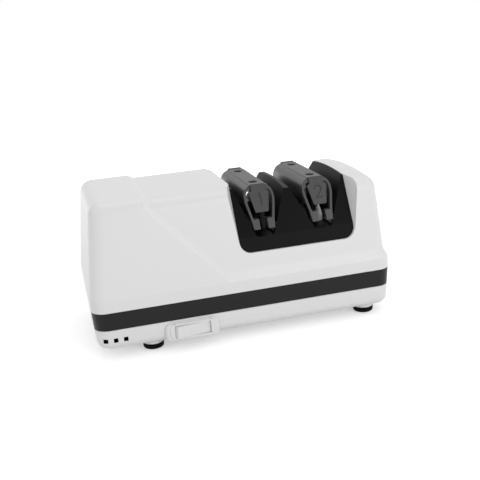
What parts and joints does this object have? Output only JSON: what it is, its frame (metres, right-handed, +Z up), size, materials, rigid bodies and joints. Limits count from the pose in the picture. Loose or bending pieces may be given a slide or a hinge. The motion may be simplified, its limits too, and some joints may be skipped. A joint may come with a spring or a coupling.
{
  "type": "electric knife sharpener",
  "caption": "Compact electric knife sharpener: white case, black slot insert with two guides over spring-loaded conical discs on a motor spindle, and a rocker switch.",
  "frame": {"origin": "on the table, under the middle of the overall box", "axes": "+X along the spindle to the bearing end, +Y to the back, +Z up"},
  "size_m": [0.215, 0.1168, 0.1075],
  "materials": {
    "housing": "white moulded, fine satin",
    "stripe": "dark grey satin band",
    "insert": "black, fine texture",
    "guide": "mid dark grey elastic plastic",
    "guide_top": "mid dark grey plastic",
    "screw": "plated steel",
    "magnet": "bright steel faced magnet",
    "abrasive_1": "dark abrasive on a moulded hub",
    "abrasive_2": "light grey abrasive on a moulded hub",
    "spring": "spring steel",
    "shaft": "ground steel",
    "bronze": "sintered bronze",
    "casting": "die-cast",
    "lamination": "stamped laminations",
    "bobbin": "natural nylon",
    "winding": "taped enamelled copper",
    "fan": "black moulded",
    "switch_black": "black moulded",
    "rocker": "white, semi gloss",
    "terminal": "tinned brass",
    "rubber": "grey-black rubber"
  },
  "bodies": {
    "body": {"upper_housing": "housing", "base_tray": "housing", "stripe_band": "stripe", "slot_insert": "insert", "guide_spring_1": "guide", "guide_spring_2": "guide", "guide_strip_1": "guide_top", "guide_strip_2": "guide_top", "guide_screws": "screw", "magnet_bars_1": "magnet", "magnet_bars_2": "magnet", "insert_screws": "screw", "spindle_bush_left": "bronze", "spindle_bush_middle": "bronze", "spindle_bush_right": "bronze", "bearing_cap": "casting", "cap_screws": "screw", "stator_stack": "lamination", "coil_bobbin": "bobbin", "motor_coil": "winding", "motor_bridge_left": "casting", "motor_bridge_right": "casting", "motor_bolts": "screw", "mount_screws": "screw", "switch_housing": "rocker", "switch_terminals": "terminal", "cord_inlet": "switch_black", "case_screws": "screw", "foot_front_left": "rubber", "foot_back_left": "rubber", "foot_front_right": "rubber", "foot_back_right": "rubber"},
    "disc_1_left": {"disc_1_left": "abrasive_1"},
    "disc_1_right": {"disc_1_right": "abrasive_1"},
    "disc_2_left": {"disc_2_left": "abrasive_2"},
    "disc_2_right": {"disc_2_right": "abrasive_2"},
    "rocker": {"rocker": "rocker"},
    "spindle": {"spindle": "shaft", "drive_pins": "shaft", "spindle_collars": "shaft", "rotor": "lamination", "fan": "fan", "disc_spring_1": "spring", "disc_spring_2": "spring"}
  },
  "joints": [
    {"name": "spindle_spin", "type": "hinge", "parent": "body", "child": "spindle", "pos_m": [0, 0, 0.054], "axis": [1, 0, 0], "continuous": true},
    {"name": "disc_1_left_slide", "type": "slide", "parent": "spindle", "child": "disc_1_left", "axis": [1, 0, 0], "range_m": [0, 0.0012], "stiffness_N_per_m": 1500, "springref_m": -0.002, "deforming": ["disc_spring_1"]},
    {"name": "disc_1_right_slide", "type": "slide", "parent": "spindle", "child": "disc_1_right", "axis": [-1, 0, 0], "range_m": [0, 0.0012], "stiffness_N_per_m": 1500, "springref_m": -0.002},
    {"name": "disc_2_left_slide", "type": "slide", "parent": "spindle", "child": "disc_2_left", "axis": [1, 0, 0], "range_m": [0, 0.0012], "stiffness_N_per_m": 1500, "springref_m": -0.002, "deforming": ["disc_spring_2"]},
    {"name": "disc_2_right_slide", "type": "slide", "parent": "spindle", "child": "disc_2_right", "axis": [-1, 0, 0], "range_m": [0, 0.0012], "stiffness_N_per_m": 1500, "springref_m": -0.002},
    {"name": "rocker_tilt", "type": "hinge", "parent": "body", "child": "rocker", "pos_m": [-0.0414, -0.0506, 0.0146], "axis": [0, 0, 1], "range_deg": [-18, 0]}
  ]
}
